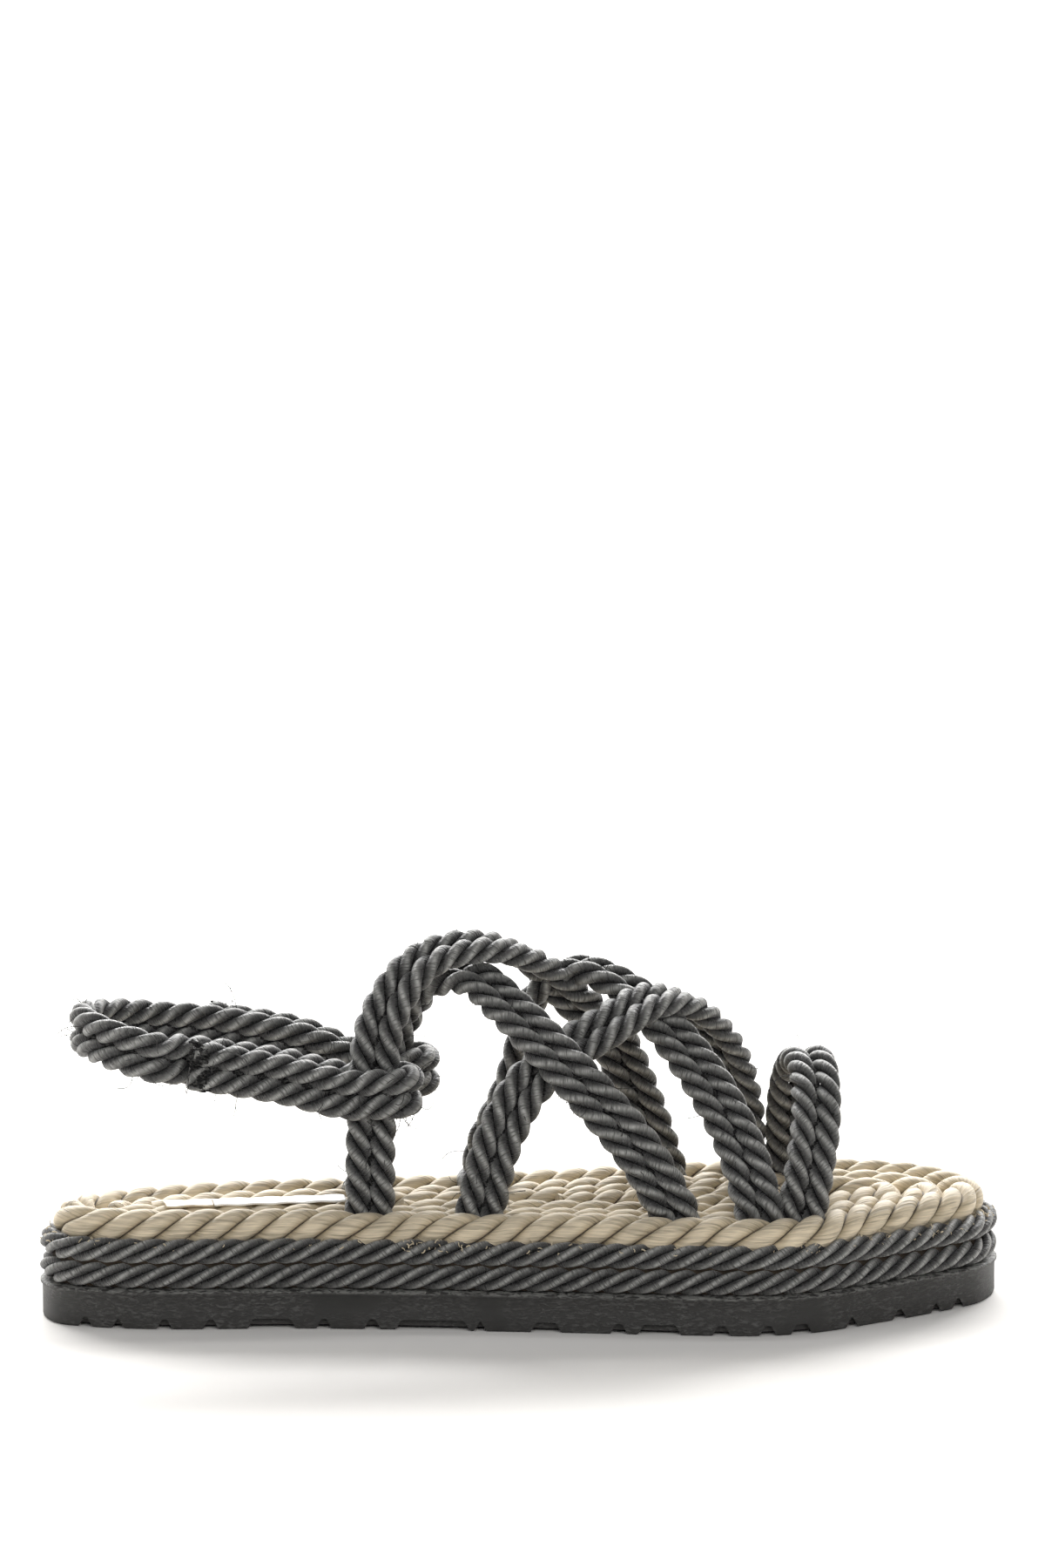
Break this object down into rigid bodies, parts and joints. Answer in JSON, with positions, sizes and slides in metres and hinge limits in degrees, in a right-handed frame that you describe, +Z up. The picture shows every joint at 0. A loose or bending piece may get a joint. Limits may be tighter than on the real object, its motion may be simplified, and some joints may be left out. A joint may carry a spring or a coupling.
{
  "type": "rope sandal",
  "caption": "Flat open rope sandal: crossed straps of paired cord, toe strap, heel sling, coiled rope footbed, cord-edged midsole and rubber outsole.",
  "frame": {"origin": "on the floor, under the middle of the sole's bounding box", "axes": "+X from heel to toe, +Y to the big-toe (inner) side, +Z up from the floor"},
  "size_m": [0.256, 0.0919, 0.0996],
  "materials": {
    "rubber_sole": "matte crepe rubber with a fine wrinkle",
    "dark_cord": "three-strand twisted cord, soft sheen along the fibres",
    "tan_rope": "three-strand twisted rope, matte with fine fibre lines",
    "label_white": "woven satin strip, blank",
    "label_beige": "woven tape end"
  },
  "bodies": {
    "root": {"outsole": "rubber_sole", "midsole_lower_cord_layer": "dark_cord", "midsole_upper_cord_layer": "dark_cord", "footbed_rope_outer_turn": "tan_rope", "footbed_rope_second_turn": "tan_rope", "footbed_rope_third_turn": "tan_rope", "footbed_rope_core": "tan_rope", "label_strip": "label_white", "label_tab": "label_beige", "upper_instep_straps": "dark_cord", "upper_toe_strap": "dark_cord", "upper_heel_sling": "dark_cord"}
  },
  "joints": []
}
